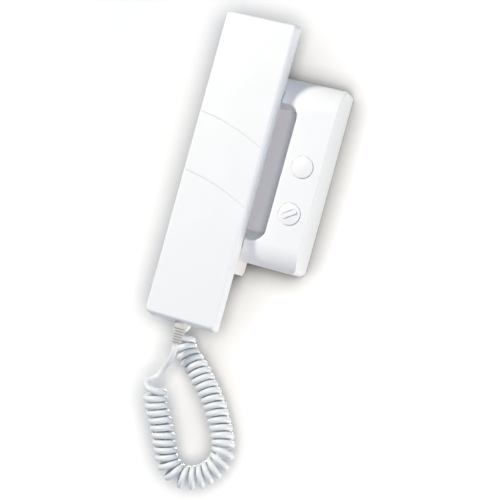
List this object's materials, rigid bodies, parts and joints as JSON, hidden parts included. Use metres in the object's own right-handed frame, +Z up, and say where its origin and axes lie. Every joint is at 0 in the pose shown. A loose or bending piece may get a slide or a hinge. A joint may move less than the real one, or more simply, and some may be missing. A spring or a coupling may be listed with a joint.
{
  "type": "wall phone",
  "caption": "Slimline wall phone: a flat base with push buttons, a long handset hung over its side, and a curly cord looping below.",
  "frame": {"origin": "on the wall plane at the back of the base, midway between the two wall screws", "axes": "+Z up along the handset, +Y into the wall, +X to the right as seen from the front"},
  "size_m": [0.089, 0.0445, 0.3172],
  "materials": {
    "shell_white": "fine satin moulding",
    "button_white": "smooth moulding",
    "plate_grey": "plain moulding",
    "cord_white": "smooth cord sheath",
    "boot_grey": "soft moulding",
    "board_green": "solder mask",
    "part_black": "moulded case",
    "terminal_green": "moulded case",
    "screw_steel": "zinc plated",
    "spring_steel": "bright wire",
    "plug_clear": "clear moulding",
    "capsule_metal": "pressed case",
    "gasket_rubber": "soft ring"
  },
  "bodies": {
    "base": {"base_cover": "shell_white", "wall_plate": "plate_grey", "curly_cord": "cord_white", "cord_plug": "plug_clear", "cord_socket": "part_black", "cover_screw": "screw_steel", "board_screws": "screw_steel", "terminal_screws": "screw_steel", "circuit_board": "board_green", "board_components": "part_black", "terminal_block": "terminal_green", "hook_switch": "part_black", "hook_spring": "spring_steel", "upper_switch": "part_black", "lower_switch": "part_black", "upper_button_spring": "spring_steel", "lower_button_spring": "spring_steel", "call_buzzer": "part_black"},
    "handset": {"handset_front": "shell_white", "handset_back": "shell_white", "handset_screws": "screw_steel", "ballast_weight": "spring_steel", "receiver_gasket": "gasket_rubber", "receiver_capsule": "capsule_metal", "microphone_grommet": "gasket_rubber", "microphone_capsule": "capsule_metal", "strain_relief": "boot_grey"},
    "hook": {"hook_plunger": "plate_grey"},
    "upper_key": {"upper_button": "button_white"},
    "lower_key": {"lower_button": "button_white"}
  },
  "joints": [
    {"name": "handset_lift", "type": "slide", "parent": "base", "child": "handset", "axis": [0, -0.7071, 0.7071], "range_m": [0, 0.04]},
    {"name": "hook_plunge", "type": "slide", "parent": "base", "child": "hook", "axis": [0, -1, 0], "range_m": [0, 0.0038], "deforming": ["hook_spring"]},
    {"name": "upper_press", "type": "slide", "parent": "base", "child": "upper_key", "axis": [0, 1, 0], "range_m": [0, 0.0012], "stiffness_N_per_m": 400, "springref_m": -0.002, "deforming": ["upper_button_spring"]},
    {"name": "lower_press", "type": "slide", "parent": "base", "child": "lower_key", "axis": [0, 1, 0], "range_m": [0, 0.0012], "stiffness_N_per_m": 400, "springref_m": -0.002, "deforming": ["lower_button_spring"]}
  ],
  "couplings": [
    {"joint": "hook_plunge", "follows": "handset_lift", "ratio": 0.094}
  ]
}
